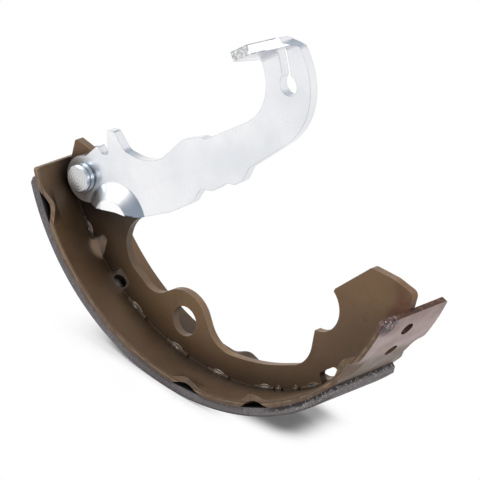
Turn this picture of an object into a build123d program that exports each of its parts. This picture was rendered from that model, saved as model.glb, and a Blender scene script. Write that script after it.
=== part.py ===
from build123d import *
import os
from math import asin, cos, degrees, pi, radians, sin

# A drum brake shoe: a steel web welded to a bowed steel table, a bonded lining, and a
# parking lever that swings on a headed pin at the web's end.
#
# Millimetres. Y is the drum's axis, Z is up and the origin is the drum's centre at the
# middle of the web. The shoe is drawn with its angles measured from straight down, positive
# towards +X, and is turned about Y at the end, so that it stands in balance on its lining.

# ------------------------------------------------------------------ drum side
drum_radius = 101.5
lining_thickness = 3.5
lining_width = 37.5
lining_first = -74.8
lining_last = 37.3
lining_bevel_height = 1.7
lining_bevel_run = 2.2
table_thickness = 2.55
table_width = 38.5
table_first = -77.0
table_last = 61.9
table_corner = 1.2
table_hole_radius = 3.0
table_hole_angles = (-44.4, 48.9, 56.7)

# ribs pressed in along both edges of the table: middle angle, angle across, height
ribs = ((-67.4, 11.0, 4.2), (-9.0, 11.0, 3.0), (12.0, 10.6, 3.2), (44.8, 11.0, 3.0))
rib_reach = 5.5
rib_steps = 6

# ------------------------------------------------------------------ web
web_thickness = 3.4
web_first = -74.8
web_last = 62.2
waist_depth = 10.2
waist_first = -2.0
waist_last = 14.0
web_hole_radius = 6.2
web_hole_depth = 13.0
web_hole_angle = -22.1
seat_radius = 10.8
seat_depth = 29.5
seat_angle = 35.6
seat_corner = 1.2
seat_first = (21.1, 29.5)
seat_last = (30.5, 46.2)

# openings in the web's outer edge: first angle, last angle, depth, corner radius
edge_gaps = ((-47.1, -41.7, 5.9, 2.2), (25.3, 31.7, 5.2, 2.0), (46.2, 51.6, 5.0, 2.2))

# one more that comes to a rounded point, at an angle of its own
point_gap_first = -57.4
point_gap_last = -49.4
point_gap_tip = -55.7
point_gap_depth = 9.6
point_gap_corner = 2.0

# welds between web and table: middle angle and angle across
welds = ((-59.4, 6.1), (-36.2, 6.8), (-21.4, 6.9), (-7.8, 6.5), (6.8, 6.0), (11.3, 1.9),
         (16.8, 2.0), (22.3, 6.7))
weld_rise = 1.25
weld_spread = 0.9
weld_slope = 0.55

# ------------------------------------------------------------------ lever pin
pin_depth = 11.5
pin_angle = -72.2
pin_radius = 4.0
pin_head_radius = 5.6
pin_head_height = 4.5
pin_head_edge = 0.5
pin_ring_depth = 0.6
pin_ring_width = 1.1
pin_ring_from_end = 1.75
pin_neck_radius = 3.1
pin_tail = 1.6
pin_tail_edge = 0.6
running_clearance = 0.05
washer_radius = 7.0
washer_thickness = 0.5
washer_wave = 0.7
clip_radius = 6.8
clip_thickness = 1.2
clip_mouth = 5.2

# ------------------------------------------------------------------ parking lever
lever_thickness = 4.0
lever_gap = 0.1
eye_radius = 9.6
eye_offset = -1.0
emboss_at = (17.3, -13.9)
emboss_radius = 14.9
emboss_top_radius = 8.6
emboss_height = 4.5
emboss_round = 1.6
hook_inner_radius = 19.5
hook_outer_radius = 28.7
# the bend's left end, its slope in the lever's plane, how far it turns and its inner radius
bend_start = (93.1, 66.5)
bend_slope = 29.8
bend_angle = 80.8
bend_radius = 1.35

# the tongue: its reach from the bend, where it starts and stops along the bend at the root,
# at the shoulder and at its far end, and the corner cut off the bend as (along, out)
tongue_length = 16.5
tongue_root = (0.0, 20.6)
tongue_shoulder = 19.6
tongue_end = (1.6, 10.5)
tongue_relief = (17.6, 3.4)
tongue_corner = 2.0
tongue_tip_corner = 1.0
keyhole_at = (106.3, 60.0)
keyhole_radius = 4.3
slot_to = (103.6, 72.2)
slot_width = 4.5
slot_rise = 1.5

# the shoe's balance: the angle, from straight down, of the point that it stands on
stand_angle = -15.6

# ------------------------------------------------------------------ sizes that follow
table_outer = drum_radius - lining_thickness
table_inner = table_outer - table_thickness
web_near = -web_thickness / 2
web_far = web_thickness / 2
lever_far = web_near - lever_gap
lever_near = lever_far - lever_thickness
head_far = lever_near - lever_gap
head_near = head_far - pin_head_height
washer_far = web_far + washer_thickness + washer_wave
clip_far = washer_far + clip_thickness
pin_far = clip_far + pin_tail
hole_radius = pin_radius + running_clearance
emboss_reach = emboss_radius + 2 * emboss_round

# how far a cut runs on past the faces it goes through, and the smallest gap that is closed
past = 5.0
nothing = 1e-6


# ------------------------------------------------------------------ drawing helpers
def at(radius, angle):
    """The point at an angle from straight down, as (x, z)."""
    return (radius * sin(radians(angle)), -radius * cos(radians(angle)))


def rim(depth, angle):
    """The point this far inside the web's outer edge."""
    return at(table_inner - depth, angle)


def along(point, angle, length):
    """The point this far along the tangent of the circle about the drum's axis."""
    return (point[0] + length * cos(radians(angle)), point[1] + length * sin(radians(angle)))


def arc(radius, first, last):
    return ThreePointArc(at(radius, first), at(radius, (first + last) / 2), at(radius, last))


def face_of(*edges):
    """A face from edges that follow each other, closed by a straight line where they stop."""
    loop = []
    for edge, following in zip(edges, edges[1:] + edges[:1]):
        loop.append(edge)
        if (edge @ 1 - following @ 0).length > nothing:
            loop.append(Line(edge @ 1, following @ 0))
    return make_face(loop)


def sector(inner, outer, first, last):
    return face_of(arc(inner, first, last), arc(outer, last, first))


def sheet(face, near, far):
    """A face drawn in (x, z) made solid from y = near to y = far."""
    return extrude(Plane.XZ.offset(-far) * face, far - near)


def turned(angle):
    """The turn about the drum's axis that takes a shape from straight down to an angle."""
    return Rot(0, -angle, 0)


def rounded(points):
    """A closed outline from (x, z, corner radius) points."""
    corners = [(x, z) for x, z, radius in points]
    radii = [radius for x, z, radius in points]
    return make_face(FilletPolyline(*corners, radius=radii, close=True))


def across(radius, near, far):
    """A round bar along Y."""
    return Pos(0, (near + far) / 2, 0) * Rot(90, 0, 0) * Cylinder(radius, far - near)


# ------------------------------------------------------------------ web
def web_outline():
    waist_start = rim(waist_depth, waist_first)
    waist_end = rim(waist_depth, waist_last)
    left = [
        (rim(0, web_first), 0),
        (rim(5.9, -82.0), 1.3),
        (rim(34.0, -65.6), 5.0),
        (rim(36.8, -53.3), 4.0),
        (rim(15.2, -56.7), 13.6),
        (rim(12.0, -44.6), 5.0),
        (rim(11.7, -33.9), 9.0),
        (rim(32.0, -23.7), 13.2),
        (along(waist_start, waist_first, -12.5), 14.0),
        (waist_start, 0),
    ]
    right = [
        (waist_end, 0),
        (along(waist_end, waist_last, 13.2), 13.0),
        (rim(*seat_first), 0),
        (rim(*seat_last), 0),
        (rim(22.6, 63.8), 1.8),
        (rim(11.1, 65.9), 12.0),
        (rim(1.0, 66.1), 2.5),
        (rim(0, web_last), 0),
    ]
    edges = []
    for side in (left, right):
        points = [point for point, radius in side]
        radii = [radius for point, radius in side[1:-1]]
        edges.append(FilletPolyline(*points, radius=radii))
    waist = arc(table_inner - waist_depth, waist_first, waist_last)
    return face_of(edges[0], waist, edges[1], arc(table_inner, web_last, web_first))


def edge_gap(first, last, depth, corner):
    return rounded([
        (*rim(-past, first), 0),
        (*rim(depth, first), corner),
        (*rim(depth, last), corner),
        (*rim(-past, last), 0),
    ])


def point_gap():
    return rounded([
        (*rim(-past, point_gap_first), 0),
        (*rim(point_gap_depth, point_gap_tip), point_gap_corner),
        (*rim(-past, point_gap_last), 0),
    ])


def weld(angle, width):
    """One bead with sloping sides, raised on both faces of the web where it meets the table."""
    half = web_far + weld_spread
    top = table_inner - weld_rise
    bead = sheet(sector(top, table_inner, angle - width / 2, angle + width / 2), -half, half)
    upper = bead.edges().filter_by(GeomType.CIRCLE).sort_by(SortBy.RADIUS)[:2]
    return chamfer(upper, weld_slope)


def make_web():
    face = web_outline()
    seat = at(table_inner - seat_depth, seat_angle)
    face -= Pos(*seat) * Circle(seat_radius)
    for end in (seat_first, seat_last):
        corner = face.vertices().sort_by_distance(Vector(*rim(*end)))[0]
        face = fillet(corner, seat_corner)
    face -= Pos(*rim(web_hole_depth, web_hole_angle)) * Circle(web_hole_radius)
    face -= Pos(*rim(pin_depth, pin_angle)) * Circle(pin_radius)
    face -= point_gap()
    for gap in edge_gaps:
        face -= edge_gap(*gap)
    web = sheet(face, web_near, web_far)
    for angle, width in welds:
        web += weld(angle, width)
    return web


# ------------------------------------------------------------------ table and lining
def rib_edge(base, first, last, height):
    """One edge of the table's section across a rib: a smooth rise towards the drum's axis."""
    points = []
    for step in range(rib_steps + 1):
        rise = height * (1 - cos(2 * pi * step / rib_steps)) / 2
        points.append(at(base - rise, first + (last - first) * step / rib_steps))
    way = 1 if last > first else -1
    tangents = [(way * cos(radians(end)), way * sin(radians(end))) for end in (first, last)]
    return Spline(*points, tangents=tangents)


def rib(centre, span, height, side):
    """A rib rises from the flat table at its root to its full height at the table's edge."""
    first, last = centre - span / 2, centre + span / 2
    edge = side * table_width / 2
    root = side * (table_width / 2 - rib_reach)
    flat = sector(table_inner, table_outer, first, last)
    bowed = face_of(
        rib_edge(table_inner, first, last, height),
        rib_edge(table_outer, last, first, height),
    )
    return loft([Plane.XZ.offset(-root) * flat, Plane.XZ.offset(-edge) * bowed])


def make_table():
    half = table_width / 2
    table = sheet(sector(table_inner, table_outer, table_first, table_last), -half, half)
    corners = table.edges().filter_by(GeomType.LINE).filter_by(Axis.Y, reverse=True)
    table = fillet(corners, table_corner)
    for angle in table_hole_angles:
        hole = Cylinder(table_hole_radius, 4 * table_thickness)
        table -= turned(angle) * Pos(0, 0, -(table_inner + table_outer) / 2) * hole
    for centre, span, height in ribs:
        window = sector(table_inner - past, table_outer + past, centre - span / 2, centre + span / 2)
        table -= sheet(window, half - rib_reach, half + past)
        table -= sheet(window, -half - past, rib_reach - half)
        table += rib(centre, span, height, 1)
        table += rib(centre, span, height, -1)
    return table


def make_lining():
    bevel = degrees(asin(lining_bevel_run / drum_radius))
    shoulder = drum_radius - lining_bevel_height
    face = face_of(
        arc(table_outer, lining_first, lining_last),
        Line(at(shoulder, lining_last), at(drum_radius, lining_last - bevel)),
        arc(drum_radius, lining_last - bevel, lining_first + bevel),
        Line(at(drum_radius, lining_first + bevel), at(shoulder, lining_first)),
    )
    return sheet(face, -lining_width / 2, lining_width / 2)


# ------------------------------------------------------------------ parking lever
def lever_outline():
    """Drawn from the pin: x, z and corner radius. It runs on past the hook's bend."""
    return rounded([
        (0.0, eye_offset - eye_radius, 0),
        (20.0, -9.6, 20.0),
        (29.9, -10.6, 6.0),
        (44.9, -5.2, 20.0),
        (56.7, 1.3, 4.0),
        (61.1, 8.0, 2.0),
        (67.3, 8.5, 4.0),
        (74.7, 13.5, 2.0),
        (78.9, 13.6, 2.0),
        (82.8, 15.8, 3.0),
        (86.3, 22.1, 2.5),
        (107.4, 37.2, 15.0),
        (123.4, 54.0, hook_outer_radius),
        (112.6, 76.1, 4.5),
        (104.6, 80.7, 0),
        (86.2, 77.6, 0),
        (102.5, 50.1, hook_inner_radius),
        (63.9, 29.2, 2.0),
        (61.3, 29.4, 1.0),
        (52.1, 26.7, 8.0),
        (40.9, 16.3, 5.0),
        (32.5, 12.5, 22.0),
        (21.4, 14.9, 4.0),
        (15.4, 21.9, 1.2),
        (11.8, 21.9, 0.6),
        (12.5, 11.5, 1.2),
        (9.3, 11.4, 1.0),
        (6.6, 14.3, 1.0),
        (0.4, eye_offset + eye_radius, 0),
    ])


def bend_plane():
    """At the bend's left end on the lever's near face: X across the bend, Z along it."""
    slope = radians(bend_slope)
    start = (bend_start[0], lever_near, bend_start[1])
    return Plane(origin=start, x_dir=(-sin(slope), 0, cos(slope)), z_dir=(cos(slope), 0, sin(slope)))


def emboss():
    """A dish pressed out of the near face and hollow behind, with a flat ring around it."""
    sides = []
    for y in (lever_near, lever_far):
        top = y - emboss_height
        points = ((0, top), (emboss_top_radius, top), (emboss_radius, y), (emboss_reach, y))
        sides.append(FilletPolyline(*points, radius=[emboss_round, emboss_round]))
    near, far = sides
    back = Line(near @ 1, far @ 1)
    axis = Line(far @ 0, near @ 0)
    section = make_face([near, back, far, axis])
    return revolve(section, axis=Axis.Y)


def make_tongue():
    """The hook's bent end: the bend itself and the flat tongue beyond it."""
    plane = bend_plane()
    turn = radians(bend_angle)
    outer = bend_radius + lever_thickness
    ahead = (cos(turn), sin(turn))
    inner_end = (bend_radius * sin(turn), bend_radius * (1 - cos(turn)))
    outer_end = (outer * sin(turn), bend_radius - outer * cos(turn))
    length = (tongue_length - inner_end[1]) / ahead[1]
    half = turn / 2
    inner_middle = (bend_radius * sin(half), bend_radius * (1 - cos(half)))
    outer_middle = (outer * sin(half), bend_radius - outer * cos(half))
    inner_arc = ThreePointArc((0, 0), inner_middle, inner_end)
    outer_arc = ThreePointArc(outer_end, outer_middle, (0, -lever_thickness))
    tip_inner = (inner_end[0] + length * ahead[0], inner_end[1] + length * ahead[1])
    tip_outer = (outer_end[0] + length * ahead[0], outer_end[1] + length * ahead[1])
    profile = face_of(inner_arc, Line(inner_end, tip_inner), Line(tip_outer, outer_end), outer_arc)
    width = tongue_root[1] - tongue_root[0] + 2 * past
    wide = extrude(plane * Pos(0, 0, tongue_root[0] - past) * profile, width)
    across_bend = Plane(origin=plane.origin, x_dir=plane.z_dir, z_dir=plane.x_dir)
    taper = 1 + past / tongue_length
    plan = rounded([
        (tongue_root[0], lever_thickness + past, 0),
        (tongue_root[0], 0, tongue_corner),
        (tongue_root[0] + taper * (tongue_end[0] - tongue_root[0]), -taper * tongue_length, 0),
        (tongue_shoulder + taper * (tongue_end[1] - tongue_shoulder), -taper * tongue_length, 0),
        (tongue_shoulder, -bend_radius, tongue_corner),
        (tongue_root[1], 0, tongue_tip_corner),
        (tongue_root[1], lever_thickness + past, 0),
    ])
    tongue = wide & extrude(across_bend * Pos(0, 0, -past) * plan, 4 * past + outer)
    over = Plane(origin=plane.origin, x_dir=plane.x_dir, z_dir=-plane.y_dir)
    relief = rounded([
        (-past, tongue_root[0] - past, 0),
        (-past, tongue_root[1] + past, 0),
        (0, tongue_root[1] + past, 0),
        (0, tongue_root[1], 0),
        (tongue_relief[1], tongue_relief[0], tongue_corner),
        (tongue_length, tongue_relief[0], 0),
        (tongue_length, tongue_root[0] - past, 0),
    ])
    return tongue & extrude(over * relief, 2 * tongue_length, both=True)


def slot_tool():
    """The slot runs from the keyhole to the bend and on into the foot of the tongue."""
    run = Vector(slot_to[0] - keyhole_at[0], 0, slot_to[1] - keyhole_at[1])
    start = Vector(keyhole_at[0], lever_near, keyhole_at[1])
    plane = Plane(origin=start, x_dir=run.normalized().cross(Vector(0, 1, 0)), z_dir=run.normalized())
    middle = bend_radius + slot_rise - slot_width / 2
    depth = lever_thickness + past + middle
    shape = Pos(0, middle - depth / 2) * Rectangle(slot_width, depth)
    shape += Pos(0, middle) * Circle(slot_width / 2)
    return extrude(plane * shape, run.length + bend_radius + lever_thickness + 2 * past)


def make_lever():
    outline = lever_outline()
    plate = sheet(outline - Pos(*emboss_at) * Circle(emboss_reach), lever_near, lever_far)
    plate += sheet(Pos(0, eye_offset) * Circle(eye_radius), lever_near, lever_far)
    block = sheet(outline, lever_near - emboss_height - past, lever_far + past)
    plate += (Pos(emboss_at[0], 0, emboss_at[1]) * emboss()) & block
    beyond = Box(4 * past, 2 * lever_thickness, tongue_root[1] + 4 * past,
                 align=(Align.MIN, Align.CENTER, Align.MIN))
    plate -= bend_plane() * Pos(0, -lever_thickness / 2, -2 * past) * beyond
    plate -= across(hole_radius, lever_near - past, lever_far + past)
    lever = plate + make_tongue()
    lever -= sheet(Pos(*keyhole_at) * Circle(keyhole_radius), lever_near - past, lever_far + past)
    lever -= slot_tool()
    return lever


# ------------------------------------------------------------------ pin, washer and clip
def make_pin():
    head = across(pin_head_radius, head_near, head_far)
    head = chamfer(head.edges().filter_by(GeomType.CIRCLE), pin_head_edge)
    ring = across(pin_head_radius + past, -pin_ring_width / 2, pin_ring_width / 2)
    ring -= across(pin_head_radius - pin_ring_depth, -pin_ring_width, pin_ring_width)
    head -= Pos(0, head_near + pin_ring_from_end, 0) * ring
    shank = across(pin_radius, head_far, pin_far)
    shank = chamfer(shank.edges().filter_by(GeomType.CIRCLE).sort_by(Axis.Y)[-1], pin_tail_edge)
    groove = across(pin_radius + past, washer_far, clip_far)
    groove -= across(pin_neck_radius, washer_far, clip_far)
    return head + (shank - groove)


def make_washer():
    """A spring washer bowed about a line, so that two sides touch the web and two the clip."""
    ring = across(washer_radius, web_far, washer_far) - across(hole_radius, web_far, washer_far)
    bow = (washer_radius ** 2 + washer_wave ** 2) / (2 * washer_wave)
    centre = washer_far - bow
    length = 4 * washer_radius
    bar = Cylinder(bow, length) - Cylinder(bow - washer_thickness, length)
    return ring & Pos(0, centre, 0) * bar


def make_clip():
    """A horseshoe that springs into the pin's groove."""
    mouth = Pos(0, -clip_radius) * Rectangle(clip_mouth, 2 * clip_radius)
    return sheet(Circle(clip_radius) - Circle(pin_neck_radius) - mouth, washer_far, clip_far)


# ------------------------------------------------------------------ the shoe
def main():
    pin_x, pin_z = rim(pin_depth, pin_angle)
    at_pin = Pos(pin_x, 0, pin_z)
    nodes = {
        "shoe_web": make_web(),
        "shoe_table": make_table(),
        "friction_lining": make_lining(),
        "parking_lever": at_pin * make_lever(),
        "lever_pin": at_pin * make_pin(),
        "wave_washer": at_pin * make_washer(),
        "retaining_clip": at_pin * make_clip(),
    }
    os.makedirs("parts", exist_ok=True)
    for name, solid in nodes.items():
        export_step(turned(-stand_angle) * solid, f"parts/{name}.step")


main()
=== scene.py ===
import math
import random

import bpy
from mathutils import Matrix, Vector


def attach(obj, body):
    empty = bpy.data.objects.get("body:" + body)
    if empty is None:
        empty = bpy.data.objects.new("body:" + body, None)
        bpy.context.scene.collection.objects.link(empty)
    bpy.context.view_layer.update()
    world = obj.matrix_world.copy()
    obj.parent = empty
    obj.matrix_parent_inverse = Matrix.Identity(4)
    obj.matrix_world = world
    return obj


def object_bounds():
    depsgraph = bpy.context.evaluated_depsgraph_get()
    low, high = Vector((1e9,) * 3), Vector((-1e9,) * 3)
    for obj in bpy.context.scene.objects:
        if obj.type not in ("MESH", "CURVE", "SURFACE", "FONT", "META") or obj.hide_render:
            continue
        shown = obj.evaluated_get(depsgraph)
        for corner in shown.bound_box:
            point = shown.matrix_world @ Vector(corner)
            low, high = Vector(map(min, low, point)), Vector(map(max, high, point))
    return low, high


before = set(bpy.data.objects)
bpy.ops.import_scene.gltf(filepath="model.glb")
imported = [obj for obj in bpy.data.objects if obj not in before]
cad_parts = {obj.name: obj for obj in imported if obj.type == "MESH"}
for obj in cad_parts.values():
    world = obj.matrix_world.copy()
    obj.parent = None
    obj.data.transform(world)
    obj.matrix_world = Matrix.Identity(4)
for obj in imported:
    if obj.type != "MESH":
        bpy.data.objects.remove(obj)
cad_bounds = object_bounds()

# Metres, in the row frame: Y is the drum's axis, Z is up and the origin is the drum's centre.
MM = 0.001


def mm(*numbers):
    """Millimetres, as metres."""
    return tuple(number * MM for number in numbers)


DRUM_AXIS = (0, 0)
PIN_AXIS = mm(-70.085, -46.213)
WEB_HALF = 1.7 * MM
TABLE_OUTER = 98.0 * MM
TABLE_INNER = 95.45 * MM
TONGUE_TIP = -22.3 * MM
FLOOR_HEIGHT = cad_bounds[0][2]
# Degrees about Y, from the position in which the photograph was measured to the standing one.
STAND_ANGLE = 15.6

WHITE = (1.0, 1.0, 1.0)


# ------------------------------------------------------------------ camera
PHOTO_AZIMUTH = 41.024
PHOTO_ELEVATION = 18.862
PHOTO_TARGET = mm(-3.339, 0, -36.70)
PHOTO_DISTANCE = 2.6757
PHOTO_LENS = 512.2
SENSOR_WIDTH = 36


def set_camera():
    """At the photograph's angle, turned with the shoe into the standing position."""
    azimuth, elevation = math.radians(PHOTO_AZIMUTH), math.radians(PHOTO_ELEVATION)
    level = math.cos(elevation)
    out = Vector((math.sin(azimuth) * level, -math.cos(azimuth) * level, math.sin(elevation)))
    right = Vector((0, 0, 1)).cross(out).normalized()
    up = out.cross(right)
    place = Matrix((right, up, out)).transposed().to_4x4()
    place.translation = Vector(PHOTO_TARGET) + out * PHOTO_DISTANCE
    data = bpy.data.cameras.new("camera")
    data.lens = PHOTO_LENS
    data.sensor_width = SENSOR_WIDTH
    data.clip_start = 0.1
    data.clip_end = 20
    camera = bpy.data.objects.new("camera", data)
    camera.matrix_world = Matrix.Rotation(math.radians(-STAND_ANGLE), 4, "Y") @ place
    bpy.context.scene.collection.objects.link(camera)
    bpy.context.scene.camera = camera


# ------------------------------------------------------------------ node helpers
class Net:
    """A short way to write the nodes of a material or a world. A mask is a number from 0 to 1."""

    def __init__(self, owner):
        self.owner = owner
        owner.use_nodes = True
        self.tree = owner.node_tree
        self.tree.nodes.clear()
        place = self.add("ShaderNodeTexCoord").outputs
        self.point = place["Object"]
        self.normal = place["Normal"]
        self.direction = place["Generated"]

    def add(self, kind, **settings):
        node = self.tree.nodes.new(kind)
        for key, value in settings.items():
            setattr(node, key, value)
        return node

    def feed(self, socket, value):
        """Links a socket, or sets a number, a vector or a colour."""
        if isinstance(value, bpy.types.NodeSocket):
            self.tree.links.new(value, socket)
        elif isinstance(value, tuple) and len(value) == 3 and socket.type == "RGBA":
            socket.default_value = (*value, 1)
        else:
            socket.default_value = value

    def split(self, vector):
        """The X, Y and Z of a vector."""
        node = self.add("ShaderNodeSeparateXYZ")
        self.feed(node.inputs[0], vector)
        return node.outputs

    # Patterns
    def noise(self, scale, detail, roughness):
        node = self.add("ShaderNodeTexNoise")
        self.feed(node.inputs["Vector"], self.point)
        for key, value in (("Scale", scale), ("Detail", detail), ("Roughness", roughness)):
            node.inputs[key].default_value = value
        return node.outputs["Fac"]

    def cells(self, scale):
        """Small cells: a random tone for each one, and the distance from its middle."""
        node = self.add("ShaderNodeTexVoronoi")
        self.feed(node.inputs["Vector"], self.point)
        node.inputs["Scale"].default_value = scale
        return self.split(node.outputs["Color"])[0], node.outputs["Distance"]

    # Numbers and masks
    def math(self, operation, a, b=0.0, clamp=False):
        node = self.add("ShaderNodeMath", operation=operation, use_clamp=clamp)
        self.feed(node.inputs[0], a)
        self.feed(node.inputs[1], b)
        return node.outputs[0]

    def times(self, first, *others):
        """The product. Of masks, it is 1 only where each of them is 1, and a number weakens it."""
        product = first
        for other in others:
            product = self.math("MULTIPLY", product, other)
        return product

    def either(self, a, b):
        """The larger of two numbers."""
        return self.math("MAXIMUM", a, b)

    def invert(self, mask):
        return self.math("SUBTRACT", 1.0, mask)

    def ramp(self, value, low, high, first=0.0, last=1.0):
        """Value from low to high becomes first to last, smoothly, and is held outside."""
        node = self.add("ShaderNodeMapRange", interpolation_type="SMOOTHSTEP")
        self.feed(node.inputs["Value"], value)
        for key, number in (("From Min", low), ("From Max", high), ("To Min", first), ("To Max", last)):
            node.inputs[key].default_value = number
        return node.outputs["Result"]

    def band(self, value, start, full, fade, end):
        """0 before the start, 1 from full to fade, and 0 after the end."""
        return self.times(self.ramp(value, start, full), self.ramp(value, fade, end, 1.0, 0.0))

    # Places
    def near(self, centre, radius, soft):
        """1 within a radius of a point, 0 beyond a soft edge."""
        node = self.add("ShaderNodeVectorMath", operation="DISTANCE")
        self.feed(node.inputs[0], self.point)
        node.inputs[1].default_value = centre
        return self.ramp(node.outputs["Value"], radius, radius + soft, 1.0, 0.0)

    def from_axis(self, axis):
        """How far a point is from a line along Y."""
        x, _, z = self.split(self.point)
        across = self.math("SUBTRACT", x, axis[0])
        upward = self.math("SUBTRACT", z, axis[1])
        square = self.math("ADD", self.times(across, across), self.times(upward, upward))
        return self.math("SQRT", square)

    def sideways(self):
        """How squarely a face looks along Y, to either side."""
        return self.math("ABSOLUTE", self.split(self.normal)[1])

    def edges(self, size, low=0.02, high=0.35):
        """1 on outer and inner edges, from how far a bevelled normal leaves the true one."""
        bevel = self.add("ShaderNodeBevel", samples=6)
        bevel.inputs["Radius"].default_value = size
        geometry = self.add("ShaderNodeNewGeometry")
        node = self.add("ShaderNodeVectorMath", operation="DISTANCE")
        self.feed(node.inputs[0], bevel.outputs[0])
        self.feed(node.inputs[1], geometry.outputs["Normal"])
        return self.ramp(node.outputs["Value"], low, high)

    def openness(self, distance, low=0.25, high=0.95):
        """1 in open places and 0 deep in corners."""
        node = self.add("ShaderNodeAmbientOcclusion", samples=8)
        node.inputs["Distance"].default_value = distance
        return self.ramp(node.outputs["AO"], low, high)

    # Colours
    def mix(self, amount, a, b, blend="MIX"):
        node = self.add("ShaderNodeMix", data_type="RGBA", blend_type=blend)
        self.feed(node.inputs["Factor"], amount)
        self.feed(node.inputs[6], a)
        self.feed(node.inputs[7], b)
        return node.outputs[2]

    def tint(self, color, other):
        return self.mix(1.0, color, other, "MULTIPLY")

    def gray(self, value):
        node = self.add("ShaderNodeCombineColor")
        for socket in node.inputs:
            self.feed(socket, value)
        return node.outputs[0]

    # Surface
    def bump(self, height, strength, distance, under=None):
        node = self.add("ShaderNodeBump")
        self.feed(node.inputs["Height"], height)
        node.inputs["Strength"].default_value = strength
        node.inputs["Distance"].default_value = distance
        if under:
            self.feed(node.inputs["Normal"], under)
        return node.outputs["Normal"]

    def shade(self, color, roughness, normal, metallic=0.0, specular=0.5):
        surface = self.add("ShaderNodeBsdfPrincipled")
        self.feed(surface.inputs["Base Color"], color)
        self.feed(surface.inputs["Roughness"], roughness)
        self.feed(surface.inputs["Metallic"], metallic)
        self.feed(surface.inputs["Normal"], normal)
        surface.inputs["Specular IOR Level"].default_value = specular
        return self.show(surface)

    def show(self, surface):
        out = self.add("ShaderNodeOutputMaterial")
        self.feed(out.inputs["Surface"], surface.outputs[0])
        return self.owner


def new_material(name):
    return Net(bpy.data.materials.new(name))


# ------------------------------------------------------------------ brown phosphate coat
BROWN = (0.150, 0.086, 0.045)
BROWN_DARK = (0.096, 0.051, 0.023)
BROWN_OLIVE = (0.172, 0.104, 0.052)
BROWN_GRAIN = (0.17, 0.115, 0.07)
BROWN_SHADE = (0.008, 0.004, 0.002)
CUT_TAN = (0.155, 0.110, 0.075)
CUT_GOLD = (0.225, 0.142, 0.080)
WEAR_AND_HIGHLIGHT_TAN = (0.25, 0.175, 0.115)
CORNER_RUST = (0.070, 0.028, 0.012)
COAT_HUE = (1, 0.965, 0.89)
COAT_GLOSS = 0.38
# How wide the pale edges are, which are partly wear and partly a painted highlight.
PALE_EDGE_WIDTH = 0.45 * MM


def coat_clouds(net):
    return net.noise(90, 5, 0.6)


def coat_grain(net):
    return net.noise(1400, 3, 0.7)


def coat_color(net, lightness):
    """Brown with olive and dark clouds, and a fine grain."""
    color = net.mix(net.ramp(net.noise(22, 3, 0.5), 0.38, 0.64), BROWN, BROWN_OLIVE)
    color = net.mix(net.ramp(coat_clouds(net), 0.50, 0.72, 0.0, 0.45), color, BROWN_DARK)
    color = net.mix(net.ramp(coat_grain(net), 0.35, 0.75, 0.0, 0.25), color, BROWN_GRAIN)
    return net.tint(color, tuple(lightness * part for part in COAT_HUE))


def pale_cuts(net, color, cut, edge):
    """Paler metal on the sheared faces, and along the sharp edges a pale line that is partly wear and
    partly a painted highlight.
    """
    worn = net.ramp(net.noise(260, 4, 0.6), 0.34, 0.62)
    pale = net.mix(net.ramp(net.noise(55, 3, 0.5), 0.40, 0.62), CUT_TAN, CUT_GOLD)
    color = net.mix(net.times(cut, net.ramp(worn, 0.0, 1.0, 0.35, 0.8)), color, pale)
    # Painted highlight, broken by wear, along the sharp edges.
    return net.mix(net.times(edge, net.ramp(worn, 0.0, 1.0, 0.2, 0.7)), color, WEAR_AND_HIGHLIGHT_TAN)


def rusty_corners(net, color):
    patches = net.ramp(net.noise(70, 3, 0.6), 0.40, 0.62)
    rusty = net.times(net.invert(net.openness(3 * MM)), patches, 0.75)
    return net.mix(rusty, color, CORNER_RUST)


def own_shade(net, color, cut, left_light, right_shade):
    """Painted shade where the shoe shades itself, and painted shade or light toward its lower left:
    left_light below 1 darkens it, above 1 lightens it.
    """
    x, _, z = net.split(net.point)
    shade = net.times(net.ramp(x, 30 * MM, 78 * MM, 0.80, right_shade),
                      net.ramp(z, -48 * MM, -30 * MM, 1.0, 0.4),
                      net.ramp(cut, 0.0, 1.0, 1.0, 0.5))
    color = net.mix(net.openness(34 * MM, 0.42, 0.94), net.mix(shade, color, BROWN_SHADE), color)
    away = net.either(net.ramp(x, -95 * MM, 25 * MM), net.ramp(z, -50 * MM, -38 * MM))
    return net.tint(color, net.gray(net.ramp(away, 0.0, 1.0, left_light, 1.0)))


def phosphate(net, cut, edge, lightness, left_light, right_shade):
    """Brown phosphate-coated steel, from masks of its sheared faces and its sharp edges, with the painted
    shade and light of own_shade.
    """
    color = coat_color(net, lightness)
    color = pale_cuts(net, color, cut, edge)
    color = rusty_corners(net, color)
    return own_shade(net, color, cut, left_light, right_shade)


def coat_surface(net):
    """The coat's roughness and its fine relief."""
    rough = net.ramp(net.noise(130, 4, 0.6), 0.3, 0.7, 0.36, 0.52)
    normal = net.bump(coat_grain(net), 0.16, 0.05 * MM, net.bump(coat_clouds(net), 0.25, 0.12 * MM))
    return rough, normal


# ------------------------------------------------------------------ web
# From this radius outward the web is welded to the table, and has no pale edge.
WELDED_RIM = TABLE_INNER - 1.6 * MM
STAIN_RUST = (0.095, 0.022, 0.010)
SEAM_TAN = (0.125, 0.095, 0.070)
WELD_DARK = (0.010, 0.006, 0.003)
# Each stain's X, Z, radius and soft edge in millimetres, and its strength.
STAINS = ((90.8, -19.8, 2.0, 5.0, 0.65),
          (87.2, -14.7, 1.0, 4.0, 0.35),
          (88.1, -26.7, 1.5, 5.0, 0.9))


def rust_stains(net, color):
    """Red stains on the web's near face, at its upper right end."""
    for x, z, radius, soft, strength in STAINS:
        spot = net.near((x * MM, -WEB_HALF, z * MM), radius * MM, soft * MM)
        clouds = net.ramp(coat_clouds(net), 0.36, 0.56, 0.25, strength)
        color = net.mix(net.times(spot, clouds), color, STAIN_RUST)
    return color


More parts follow.
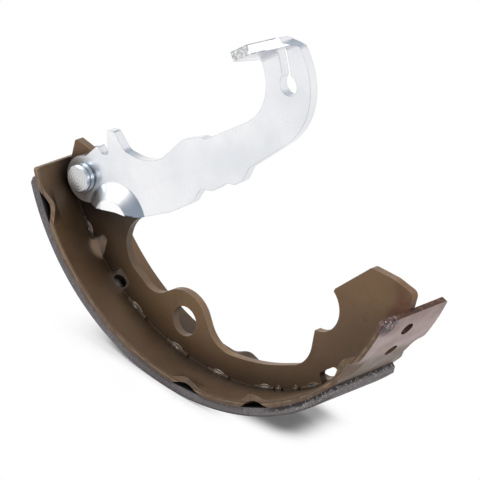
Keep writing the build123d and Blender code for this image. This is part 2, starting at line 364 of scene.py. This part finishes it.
def weld_seam(net, color):
    """A pale line where the web meets the table."""
    seam = net.ramp(net.from_axis(DRUM_AXIS), TABLE_INNER - 0.8 * MM, TABLE_INNER - 0.3 * MM)
    return net.mix(net.times(seam, 0.45), color, SEAM_TAN)


def make_web_material():
    """The coat with pale cut edges, red stains, the seam, and dull welds that stand out of its faces."""
    net = new_material("web_phosphate")
    inside_rim = net.ramp(net.from_axis(DRUM_AXIS), WELDED_RIM, WELDED_RIM - 0.3 * MM)
    cut = net.times(net.ramp(net.sideways(), 0.9, 0.3), inside_rim)
    edge = net.times(net.edges(PALE_EDGE_WIDTH), inside_rim)
    # Painted shade: the web is darker toward its lower left.
    color = phosphate(net, cut, edge, lightness=1.08, left_light=0.40, right_shade=0.20)
    color = weld_seam(net, rust_stains(net, color))
    from_middle = net.math("ABSOLUTE", net.split(net.point)[1])
    welds = net.ramp(from_middle, WEB_HALF + 0.02 * MM, WEB_HALF + 0.15 * MM)
    color = net.mix(welds, color, net.mix(0.6, color, WELD_DARK))
    rough, normal = coat_surface(net)
    rough = net.either(rough, net.times(welds, 0.8))
    return net.shade(color, rough, normal, specular=COAT_GLOSS)


# ------------------------------------------------------------------ table
BARE_ROSE = (0.34, 0.235, 0.215)
BARE_PALE = (0.48, 0.36, 0.34)
BARE_DUSK = (0.17, 0.100, 0.100)
BARE_BROWN = (0.150, 0.100, 0.066)
# The colour of a painted highlight line on the sheared sides.
HIGHLIGHT_GOLD = (0.33, 0.235, 0.155)
SHEAR_RED = (0.105, 0.050, 0.036)
# The next two colours are painted light, a lighter brown where the table is lit.
FAR_LIT_ORANGE = (0.20, 0.112, 0.060)
DIMPLE_LIT_TAN = (0.235, 0.155, 0.105)
TARNISH_DARK = (0.060, 0.024, 0.016)
TARNISH_GOLD = (0.20, 0.10, 0.045)
GLUE_RED = (0.125, 0.062, 0.062)
GLUE_DARK = (0.036, 0.020, 0.022)
GLUE_SPECK = (0.42, 0.38, 0.38)
# The colour of painted shade, near black.
PAINTED_SHADE_BROWN = (0.004, 0.002, 0.001)
DIMPLE = mm(-59.4, 0.0, -74.7)
GLUE_BLOB = mm(94.9, -15.0, -23.2)


def facing_out(net):
    """1 on the faces that look away from the drum's axis."""
    x, _, z = net.split(net.point)
    normal_x, _, normal_z = net.split(net.normal)
    outward = net.math("ADD", net.times(x, normal_x), net.times(z, normal_z))
    return net.ramp(net.math("DIVIDE", outward, TABLE_OUTER), 0.3, 0.7)


def bare_outside(net, color, outside):
    """The reddish bare metal on the outside: brown at the foot and dusky toward the end."""
    z = net.split(net.point)[2]
    bare = net.mix(net.ramp(net.noise(75, 4, 0.5), 0.36, 0.66), BARE_ROSE, BARE_PALE)
    bare = net.mix(net.ramp(z, -34 * MM, -10 * MM, 0.0, 0.5), bare, BARE_DUSK)
    bare = net.mix(net.ramp(z, -47 * MM, -38 * MM, 1.0, 0.0), bare, BARE_BROWN)
    return net.mix(net.times(outside, 0.9), color, bare)


def sheared_sides(net, color):
    """The table's two sheared sides: a dark rolled corner, a painted golden highlight line and a reddish
    lower line.
    """
    sheared = net.ramp(net.sideways(), 0.8, 0.95)
    radius = net.from_axis(DRUM_AXIS)
    depth = net.math("SUBTRACT", radius, TABLE_INNER)
    rolled = net.band(depth, -0.3 * MM, 0.0, 0.5 * MM, 0.9 * MM)
    color = net.mix(net.times(sheared, rolled, 0.8), color, BROWN_DARK)
    # Painted highlight: a broken golden line along the sheared side.
    highlight_line = net.band(depth, 0.6 * MM, 0.9 * MM, 1.0 * MM, 1.3 * MM)
    broken = net.ramp(net.noise(160, 3, 0.6), 0.40, 0.60)
    color = net.mix(net.times(sheared, highlight_line, broken, 0.8), color, HIGHLIGHT_GOLD)
    lower = net.ramp(radius, TABLE_OUTER - 0.9 * MM, TABLE_OUTER - 0.2 * MM)
    patches = net.ramp(net.noise(110, 3, 0.6), 0.42, 0.60)
    return net.mix(net.times(sheared, lower, patches, 0.75), color, SHEAR_RED)


def painted_warm_light(net, color):
    """Painted light: a warmer, lighter brown on the far side at the left and on the pressed dimple, where
    the table is lit.
    """
    x, y, _ = net.split(net.point)
    far = net.times(net.ramp(y, 3 * MM, 9 * MM), net.ramp(x, -20 * MM, -38 * MM), 0.5)
    color = net.mix(far, color, FAR_LIT_ORANGE)
    return net.mix(net.near(DIMPLE, 3.5 * MM, 3 * MM), color, DIMPLE_LIT_TAN)


def tarnished_end(net, color):
    """Dark and golden spots on the edge of the table's right end, which looks up."""
    upward = net.ramp(net.split(net.normal)[2], 0.55, 0.85)
    right_end = net.ramp(net.split(net.point)[0], 84 * MM, 88 * MM)
    tarnish = net.mix(net.ramp(net.noise(650, 3, 0.6), 0.52, 0.66), TARNISH_DARK, TARNISH_GOLD)
    return net.mix(net.times(upward, right_end, 0.85), color, tarnish)


def hardened_glue(net, color, normal):
    """A rough blob with pale specks, near the table's right end."""
    tone, distance = net.cells(1100)
    patchy = net.noise(420, 3, 0.6)
    blob = net.times(net.near(GLUE_BLOB, 3.6 * MM, 2.6 * MM), net.ramp(patchy, 0.34, 0.46))
    glue = net.mix(net.ramp(patchy, 0.44, 0.58), GLUE_RED, GLUE_DARK)
    glue = net.mix(net.ramp(tone, 0.88, 0.96), glue, GLUE_SPECK)
    return net.mix(blob, color, glue), net.bump(net.times(distance, blob), 0.8, 0.3 * MM, normal)


def painted_corner_shade(net, color, outside):
    """Painted shade: darker in corners, and more so where the outside lies close to the lining."""
    color = net.mix(net.openness(7 * MM, 0.22, 0.70), net.mix(0.8, color, PAINTED_SHADE_BROWN), color)
    shaded_outside = net.times(outside, net.invert(net.openness(7 * MM, 0.45, 0.92)), 0.85)
    return net.mix(shaded_outside, color, PAINTED_SHADE_BROWN)


def make_table_material():
    net = new_material("table_phosphate")
    cut = net.ramp(net.sideways(), 0.5, 0.9)
    # Painted light: the table is lighter toward its lower left.
    color = phosphate(net, cut, net.edges(PALE_EDGE_WIDTH), lightness=0.48, left_light=1.42, right_shade=0.80)
    rough, normal = coat_surface(net)
    outside = facing_out(net)
    color = bare_outside(net, color, outside)
    color = sheared_sides(net, color)
    color = painted_warm_light(net, color)
    color = tarnished_end(net, color)
    color, normal = hardened_glue(net, color, normal)
    color = painted_corner_shade(net, color, outside)
    return net.shade(color, rough, normal, specular=COAT_GLOSS)


# ------------------------------------------------------------------ lining
LINING_DARK = (0.105, 0.092, 0.098)
LINING_GRAY = (0.150, 0.135, 0.138)
LINING_FINE = (0.235, 0.215, 0.215)
# Colours of the painted shadow at the lining's foot and of painted shade in its corners.
FOOT_SHADOW_GRAY = (0.020, 0.016, 0.018)
LINING_SHADE = (0.012, 0.010, 0.011)
CHIP_DARK = (0.040, 0.034, 0.038)
CHIP_PALE = (0.33, 0.29, 0.27)
CHIP_BRIGHT = (0.55, 0.51, 0.49)
END_PALE = (0.36, 0.33, 0.31)
GLUE_LINE = (0.022, 0.016, 0.014)


def compound(net, fine, tone):
    """Gray compound with a fine grain, and dark and pale chips."""
    color = net.mix(net.ramp(net.noise(40, 3, 0.5), 0.35, 0.65), LINING_DARK, LINING_GRAY)
    color = net.mix(net.ramp(fine, 0.35, 0.7, 0.0, 0.55), color, LINING_FINE)
    color = net.mix(net.ramp(tone, 0.84, 0.97, 0.0, 0.5), color, CHIP_DARK)
    return net.mix(net.ramp(tone, 0.07, 0.02, 0.0, 0.45), color, CHIP_PALE)


def broken_end(net, color, end, tone):
    """The rough right end: paler, with a ragged line of glue under the table and bright chips."""
    pale = net.times(end, net.ramp(net.noise(900, 3, 0.7), 0.50, 0.66, 0.0, 0.4))
    color = net.mix(pale, color, END_PALE)
    x = net.split(net.point)[0]
    radius = net.from_axis(DRUM_AXIS)
    ragged = net.math("ADD", radius, net.times(net.noise(330, 4, 0.65), 5 * MM))
    line = net.times(net.ramp(ragged, TABLE_OUTER + 3.9 * MM, TABLE_OUTER + 3.4 * MM),
                     net.ramp(x, 46 * MM, 58 * MM), 0.9)
    color = net.mix(line, color, GLUE_LINE)
    bright = net.times(net.ramp(radius, TABLE_OUTER + 3.0 * MM, TABLE_OUTER + 2.0 * MM),
                       net.ramp(tone, 0.90, 0.94), net.ramp(x, 56 * MM, 64 * MM), 0.6)
    return net.mix(bright, color, CHIP_BRIGHT)


def painted_foot_shadow(net, color):
    """Painted shadow along the outer part of the flanks, where the floor's shadow falls, more so toward
    the right, and painted shade in corners.
    """
    flank = net.ramp(net.sideways(), 0.5, 0.8)
    outer = net.ramp(net.from_axis(DRUM_AXIS), TABLE_OUTER + 2.6 * MM, TABLE_OUTER + 3.4 * MM)
    toward_right = net.ramp(net.split(net.point)[0], -5 * MM, 20 * MM, 0.0, 0.75)
    color = net.mix(net.times(outer, flank, toward_right), color, FOOT_SHADOW_GRAY)
    return net.mix(net.openness(7 * MM, 0.25, 0.75), LINING_SHADE, color)


def make_lining_material():
    net = new_material("friction_compound")
    fine = net.noise(1500, 4, 0.75)
    tone, distance = net.cells(1700)
    end = net.ramp(net.split(net.point)[0], 56 * MM, 62 * MM)
    color = compound(net, fine, tone)
    color = broken_end(net, color, end, tone)
    color = painted_foot_shadow(net, color)
    rough = net.ramp(fine, 0.3, 0.7, 0.62, 0.85)
    crumbs = net.times(net.ramp(end, 0.0, 1.0, 0.35, 0.6), net.noise(700, 5, 0.75))
    normal = net.bump(crumbs, 0.6, 0.5 * MM, net.bump(distance, 0.3, 0.15 * MM))
    return net.shade(color, rough, normal)


# ------------------------------------------------------------------ zinc
ZINC = (0.865, 0.868, 0.885)
ZINC_BLUE = (0.80, 0.815, 0.84)
ZINC_ROSE = (0.83, 0.815, 0.835)
ZINC_GRAIN = (0.70, 0.71, 0.73)


def zinc(net):
    """Zinc-plated steel: its colour, roughness and fine relief."""
    clouds = net.noise(190, 3, 0.5)
    grain = net.noise(1100, 2, 0.6)
    color = net.mix(net.ramp(net.noise(34, 4, 0.55), 0.40, 0.62), ZINC, ZINC_BLUE)
    color = net.mix(net.ramp(clouds, 0.52, 0.70, 0.0, 0.5), color, ZINC_ROSE)
    color = net.mix(net.ramp(grain, 0.45, 0.75, 0.0, 0.08), color, ZINC_GRAIN)
    rough = net.ramp(net.noise(60, 2, 0.5), 0.3, 0.7, 0.26, 0.38)
    normal = net.bump(grain, 0.05, 0.02 * MM, net.bump(clouds, 0.10, 0.05 * MM))
    return color, rough, normal


# ------------------------------------------------------------------ lever
# Painted shade on the tongue's top and edges, and a painted dark reflection along every edge.
TONGUE_SHADE = (0.62, 0.63, 0.65)
TONGUE_EDGE_SHADE = (0.11, 0.12, 0.14)
EDGE_REFLECTION_GRAY = (0.40, 0.42, 0.45)
TORN_DARK = (0.38, 0.39, 0.40)
TORN_PALE = (0.80, 0.80, 0.81)
PIN_RING_GRAY = (0.42, 0.45, 0.45)
# A painted highlight and painted shade on the emboss.
EMBOSS_HIGHLIGHT_WHITE = (0.99, 0.99, 0.99)
EMBOSS_SHADE = (0.58, 0.60, 0.64)
EMBOSS_TOP = mm(-50, -10.3, -48.6)
EMBOSS_LEFT = mm(-58.5, -9.6, -51.3)


def painted_edge_shade(net, color):
    """A thin broken line of painted dark reflection along every edge. The tongue's top is toned down and
    its edges drawn darker, both painted shade.
    """
    x, y, _ = net.split(net.point)
    tongue = net.times(net.ramp(y, -8 * MM, -9 * MM), net.ramp(x, 9.8 * MM, 9.2 * MM))
    upward = net.ramp(net.split(net.normal)[2], 0.4, 0.7)
    color = net.mix(net.times(tongue, upward, 0.9), color, TONGUE_SHADE)
    broken = net.ramp(net.noise(300, 3, 0.6), 0.3, 0.6, 0.35, 0.8)
    color = net.mix(net.times(net.edges(0.45 * MM, 0.03, 0.4), broken), color, EDGE_REFLECTION_GRAY)
    return net.mix(net.times(net.edges(0.9 * MM, 0.03, 0.3), tongue), color, TONGUE_EDGE_SHADE)


def torn_tip(net, color):
    """The tongue's sheared end, torn and matt."""
    tip = net.ramp(net.split(net.point)[1], TONGUE_TIP + 0.9 * MM, TONGUE_TIP + 0.4 * MM)
    torn = net.mix(net.ramp(net.noise(700, 4, 0.7), 0.42, 0.60), TORN_DARK, TORN_PALE)
    return net.mix(net.times(tip, 0.85), color, torn)


def painted_emboss_light(net, color):
    """A painted white highlight on the pressed emboss's top, and painted shade on its darker left wall.
    """
    raised = net.ramp(net.split(net.point)[1], -10.1 * MM, -10.28 * MM)
    top = net.times(net.near(EMBOSS_TOP, 6 * MM, 2 * MM), raised)
    color = net.mix(top, color, EMBOSS_HIGHLIGHT_WHITE)
    return net.mix(net.near(EMBOSS_LEFT, 1.2 * MM, 2.2 * MM), color, EMBOSS_SHADE)


def make_lever_material():
    net = new_material("lever_zinc")
    color, rough, normal = zinc(net)
    color = torn_tip(net, painted_edge_shade(net, color))
    # Darker gray in a ring round the pin.
    pin_ring = net.ramp(net.from_axis(PIN_AXIS), 9.5 * MM, 5.6 * MM, 0.0, 0.45)
    color = net.mix(pin_ring, color, PIN_RING_GRAY)
    color = painted_emboss_light(net, color)
    return net.shade(color, rough, normal, metallic=1.0)


# ------------------------------------------------------------------ pin, washer and clip
TURNED_GRAY = (0.40, 0.40, 0.395)
# A painted reflection on the pin's sides, and painted shade in its grooves.
SIDE_REFLECTION_BLUE = (0.36, 0.42, 0.49)
GROOVE_SHADE_BLUE = (0.16, 0.20, 0.25)
TURNING_PITCH = 1.25 * MM
SPRING_DARK = (0.20, 0.20, 0.21)
SPRING_GRAY = (0.34, 0.34, 0.35)
SPRING_EDGE = (0.55, 0.55, 0.56)


def make_pin_material():
    """Turned rings on the two end faces, a painted bluish reflection on the sides, and painted shade in
    the grooves.
    """
    net = new_material("pin_zinc")
    color, rough, normal = zinc(net)
    rings = net.math("SINE", net.times(net.from_axis(PIN_AXIS), 2 * math.pi / TURNING_PITCH))
    rings = net.math("ADD", rings, net.times(net.noise(500, 2, 0.5), 0.6))
    face = net.ramp(net.sideways(), 0.97, 0.999)
    color = net.mix(net.times(face, net.ramp(rings, -0.7, 1.3, 0.30, 0.48)), color, TURNED_GRAY)
    # Painted reflection: bluish gray on the sides.
    color = net.mix(net.ramp(face, 0.0, 1.0, 0.6, 0.0), color, SIDE_REFLECTION_BLUE)
    # Painted shade in the grooves.
    groove = net.times(net.invert(net.openness(2.0 * MM, 0.35, 0.9)), net.invert(face), 0.9)
    color = net.mix(groove, color, GROOVE_SHADE_BLUE)
    normal = net.bump(net.times(rings, face), 0.12, 0.04 * MM, normal)
    return net.shade(color, rough, normal, metallic=1.0)


def make_spring_material():
    net = new_material("spring_steel")
    clouds = net.noise(220, 5, 0.65)
    color = net.mix(net.ramp(clouds, 0.35, 0.65), SPRING_DARK, SPRING_GRAY)
    color = net.mix(net.times(net.edges(0.25 * MM), 0.6), color, SPRING_EDGE)
    normal = net.bump(net.noise(1500, 3, 0.7), 0.15, 0.04 * MM)
    return net.shade(color, net.ramp(clouds, 0.3, 0.7, 0.28, 0.42), normal, metallic=0.8)


def dress(node, coat):
    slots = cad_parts[node].data.materials
    slots.clear()
    slots.append(coat)


# ------------------------------------------------------------------ welds
# Each weld's middle and width, in degrees round the drum before the shoe was turned to stand.
WELDS = ((-59.4, 6.1), (-36.2, 6.8), (-21.4, 6.9), (-7.8, 6.5),
         (6.8, 6.0), (11.3, 1.9), (16.8, 2.0), (22.3, 6.7))
NARROW_WELD = 3
# The part of a weld's width that its bead covers.
BEAD_SHARE = 0.88
# Rises go from the table toward the drum's axis, and outs from the web's face along Y.
LENS_RISE = 1.55 * MM
LENS_OUT = 1.15 * MM
LIP_RISE = 1.75 * MM
LIP_FOOT = 0.05 * MM
LIP_OUT = 0.12 * MM
LIP_END_RADIUS = 0.06 * MM
LIP_ADDED_RADIUS = 0.26 * MM
LUMP_RISE = 0.85 * MM
LUMP_OUT = 0.95 * MM
LUMP_RADIUS = 0.32 * MM
BEAD_STEPS = 32
LENS_ROUNDS = 8
TUBE_SIDES = 8
LUMP_STEPS = 8
# The lens's dark tones are partly painted shade, where a groove under the lip would be in shade.
LENS_SHADE_TONES = ((0.030, 0.019, 0.012), (0.060, 0.040, 0.026))
LIP_TONES = ((0.13, 0.098, 0.068), (0.235, 0.185, 0.145))


def make_bead_material(name, tones):
    net = new_material(name)
    clouds = net.noise(300, 2, 0.5)
    grain = net.noise(1500, 2, 0.6)
    color = net.mix(net.ramp(clouds, 0.38, 0.64), *tones)
    rough = net.ramp(grain, 0.3, 0.7, 0.36, 0.50)
    normal = net.bump(clouds, 0.15, 0.06 * MM, net.bump(grain, 0.05, 0.02 * MM))
    return net.shade(color, rough, normal, metallic=0.15)


def polar(angle, rise, y):
    """A point this far inside the table's inner face."""
    radius = TABLE_INNER - rise
    return (radius * math.sin(angle), y, -radius * math.cos(angle))


def skin(rows, verts, faces, closed, flip):
    """Joins rows of points into quads."""
    start, width = len(verts), len(rows[0])
    for row in rows:
        verts.extend(row)
    for i in range(len(rows) - 1):
        for j in range(width if closed else width - 1):
            k = (j + 1) % width
            a, b = start + i * width + j, start + i * width + k
            quad = (a, b, b + width, a + width)
            faces.append(quad[::-1] if flip else quad)


def add_tube(points, side, verts, faces):
    """A round bar through points that give an angle, a rise, how far out and a radius."""
    rows = []
    for angle, rise, out, radius in points:
        row = []
        for j in range(TUBE_SIDES):
            turn = 2 * math.pi * j / TUBE_SIDES
            y = side * (WEB_HALF + out + radius * math.sin(turn))
            row.append(polar(angle, rise + radius * math.cos(turn), y))
        rows.append(row)
    skin(rows, verts, faces, True, side < 0)


def add_lens(first, span, side, verts, faces):
    """The metal that fills the corner between the web and the table, dark partly by painted shade."""
    rows = []
    for i in range(BEAD_STEPS + 1):
        t = i / BEAD_STEPS
        size = math.sin(math.pi * t) ** 0.6
        row = []
        for j in range(LENS_ROUNDS + 1):
            turn = math.pi / 2 * j / LENS_ROUNDS
            y = side * (WEB_HALF + LENS_OUT * size * math.sin(turn))
            row.append(polar(first + span * t, LENS_RISE * size * math.cos(turn), y))
        rows.append(row)
    skin(rows, verts, faces, False, side < 0)


def lip_points(first, span, bend):
    """The lip over the lens, which rises to an arch with its top a little off the middle."""
    points = []
    for i in range(BEAD_STEPS + 1):
        t = i / BEAD_STEPS
        arch = math.sin(math.pi * t) ** 0.9
        rise = LIP_FOOT + LIP_RISE * arch * (1 + bend * math.cos(math.pi * t))
        points.append((first + span * t, rise, LIP_OUT, LIP_END_RADIUS + LIP_ADDED_RADIUS * arch))
    return points


def lump_points(middle, reach):
    """A small drop of metal on the lens."""
    points = []
    for i in range(LUMP_STEPS + 1):
        t = 2 * i / LUMP_STEPS - 1
        radius = LUMP_RADIUS * math.sqrt(max(1 - t * t, 0.001))
        points.append((middle + reach * t, LUMP_RISE, LUMP_OUT, radius))
    return points


def make_bead(name, middle, width, side, seed, groove, lip):
    """One projection weld: a lens in the web's corner under a raised lip, with a lump if it is wide."""
    draw = random.Random(seed)
    bend = draw.uniform(-0.15, 0.15)
    lump_share = draw.uniform(0.38, 0.60)
    first = math.radians(middle + STAND_ANGLE - width * BEAD_SHARE / 2)
    span = math.radians(width * BEAD_SHARE)
    verts, faces = [], []
    add_lens(first, span, side, verts, faces)
    lens = len(faces)
    add_tube(lip_points(first, span, bend), side, verts, faces)
    if width > NARROW_WELD:
        reach = min(span * 0.09, math.radians(0.5))
        add_tube(lump_points(first + span * lump_share, reach), side, verts, faces)
    mesh = bpy.data.meshes.new(name)
    mesh.from_pydata(verts, [], faces)
    mesh.polygons.foreach_set("use_smooth", [True] * len(faces))
    mesh.materials.append(groove)
    mesh.materials.append(lip)
    mesh.polygons.foreach_set("material_index", [int(i >= lens) for i in range(len(faces))])
    bead = bpy.data.objects.new(name, mesh)
    bpy.context.scene.collection.objects.link(bead)
    return bead


def make_beads():
    groove = make_bead_material("weld_lens_shade", LENS_SHADE_TONES)
    lip = make_bead_material("weld_lip", LIP_TONES)
    for count, (middle, width) in enumerate(WELDS):
        for side, label in ((-1, "near"), (1, "far")):
            bead = make_bead(f"weld_{label}_{count}", middle, width, side, 10 * count + side, groove, lip)
            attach(bead, "shoe")


# ------------------------------------------------------------------ light
AMBIENT = 0.14
DARK_BLUE = (0.20, 0.25, 0.32)
BACK_BLUE = (0.25, 0.31, 0.38)
SIDE_GRAY = (0.50, 0.53, 0.57)
FRONT_DIRECTION = (0.15, -0.95, 0.27)
# Each lamp's name, place, aim, width and power.
LAMPS = (("key", (-1.00, -0.58, 0.85), (0, 0, -0.04), 0.55, 17),
         ("top", (-0.1, 0.30, 1.2), (0.02, 0, -0.06), 0.7, 6),
         ("right", (1.1, -0.5, 0.5), (0.05, 0, -0.04), 0.6, 10))


def mirrored_studio(net):
    """What the zinc mirrors: white, but blue at the upper back, gray beside and dark blue in front."""
    x, y, z = net.split(net.direction)
    back = net.times(net.ramp(y, 0.45, 0.62), net.ramp(z, 0.27, 0.40), net.ramp(x, 0.22, 0.02))
    color = net.mix(back, WHITE, BACK_BLUE)
    beside = net.either(net.ramp(net.math("ABSOLUTE", x), 0.955, 0.99), net.ramp(z, 0.90, 0.97))
    color = net.mix(beside, color, SIDE_GRAY)
    toward = net.add("ShaderNodeVectorMath", operation="DOT_PRODUCT")
    net.feed(toward.inputs[0], net.direction)
    toward.inputs[1].default_value = FRONT_DIRECTION
    return net.mix(net.ramp(toward.outputs["Value"], 0.76, 0.93), color, DARK_BLUE)


def set_world():
    """A world that is white to the camera, has darker parts in mirrors, and gives a weak even light."""
    world = bpy.data.worlds.new("studio")
    bpy.context.scene.world = world
    net = Net(world)
    path = net.add("ShaderNodeLightPath").outputs
    shown = net.either(path["Is Camera Ray"], path["Is Glossy Ray"])
    shown = net.either(shown, path["Is Transmission Ray"])
    background = net.add("ShaderNodeBackground")
    net.feed(background.inputs["Color"], net.mix(path["Is Glossy Ray"], WHITE, mirrored_studio(net)))
    net.feed(background.inputs["Strength"], net.ramp(shown, 0.0, 1.0, AMBIENT, 1.0))
    out = net.add("ShaderNodeOutputWorld")
    net.feed(out.inputs["Surface"], background.outputs[0])


def set_lamps():
    """Soft round lamps."""
    for name, place, aim, width, power in LAMPS:
        data = bpy.data.lights.new(name, "AREA")
        data.shape = "DISK"
        data.size = width
        data.energy = power
        light = bpy.data.objects.new(name, data)
        light.location = place
        light.rotation_euler = (Vector(aim) - Vector(place)).to_track_quat("-Z", "Y").to_euler()
        bpy.context.scene.collection.objects.link(light)


# ------------------------------------------------------------------ floor
FLOOR_REACH = 4.0
FLOOR_WHITE = (0.92, 0.92, 0.92)
SHADOW_GRAY = (0.15, 0.14, 0.14)
# A darker floor for the light that it sends up to the shoe, and how white it is in near mirrors.
FLOOR_BOUNCE = (0.40, 0.40, 0.40)
FLOOR_MIRRORED = 0.6


def shadow_area(net):
    """1 where the floor shows the lamps' shadow: along the lining's foot, and round the middle."""
    x, y, _ = net.split(net.point)
    slanted = net.math("SUBTRACT", y, net.times(x, 0.2))
    along = net.band(x, -40 * MM, 0.0, 44 * MM, 64 * MM)
    across = net.band(slanted, -22 * MM, -4 * MM, 12 * MM, 30 * MM)
    middle = net.near((-13 * MM, -17 * MM, FLOOR_HEIGHT), 12 * MM, 42 * MM)
    return net.either(net.times(along, across), net.times(middle, 0.85))


def shadow_core(net):
    """1 in the darkest part of the shadow, close under the lining."""
    front = net.near((40 * MM, 6 * MM, FLOOR_HEIGHT), 6 * MM, 14 * MM)
    behind = net.near((41 * MM, 18 * MM, FLOOR_HEIGHT), 5 * MM, 14 * MM)
    return net.either(front, behind)


def make_floor_material():
    """White to the camera except in the shadow, and in mirrors dark blue toward the front."""
    net = new_material("floor")
    path = net.add("ShaderNodeLightPath").outputs
    x, y, _ = net.split(net.point)
    seen = net.times(net.ramp(shadow_area(net), 0.0, 1.0, 1.0, 0.0), path["Is Camera Ray"])
    mirrored = net.times(net.ramp(y, 50 * MM, 250 * MM, FLOOR_MIRRORED, 1.0), path["Is Glossy Ray"])
    front = net.times(net.ramp(x, -90 * MM, -20 * MM), net.ramp(y, -80 * MM, -140 * MM))
    front = net.times(front, path["Is Glossy Ray"])
    lit = net.mix(path["Is Diffuse Ray"], FLOOR_WHITE, FLOOR_BOUNCE)
    lit = net.mix(net.times(shadow_core(net), 0.60), lit, SHADOW_GRAY)
    diffuse = net.add("ShaderNodeBsdfDiffuse")
    net.feed(diffuse.inputs["Color"], net.mix(front, lit, DARK_BLUE))
    glow = net.add("ShaderNodeEmission")
    net.feed(glow.inputs["Color"], net.mix(front, WHITE, DARK_BLUE))
    surface = net.add("ShaderNodeMixShader")
    net.feed(surface.inputs[0], net.math("ADD", seen, mirrored, clamp=True))
    net.feed(surface.inputs[1], diffuse.outputs[0])
    net.feed(surface.inputs[2], glow.outputs[0])
    return net.show(surface)


def make_floor():
    """A wide floor at the height of the shoe's lowest point."""
    corners = []
    for x, y in ((-1, -1), (1, -1), (1, 1), (-1, 1)):
        corners.append((x * FLOOR_REACH, y * FLOOR_REACH, FLOOR_HEIGHT))
    mesh = bpy.data.meshes.new("floor")
    mesh.from_pydata(corners, [], [(0, 1, 2, 3)])
    mesh.materials.append(make_floor_material())
    floor = bpy.data.objects.new("floor", mesh)
    bpy.context.scene.collection.objects.link(floor)


# ------------------------------------------------------------------ the scene
set_camera()
dress("shoe_web", make_web_material())
dress("shoe_table", make_table_material())
dress("friction_lining", make_lining_material())
dress("parking_lever", make_lever_material())
dress("lever_pin", make_pin_material())
spring_material = make_spring_material()
dress("wave_washer", spring_material)
dress("retaining_clip", spring_material)
make_beads()
set_world()
set_lamps()
make_floor()

scene = bpy.context.scene
scene.view_settings.view_transform = "Standard"
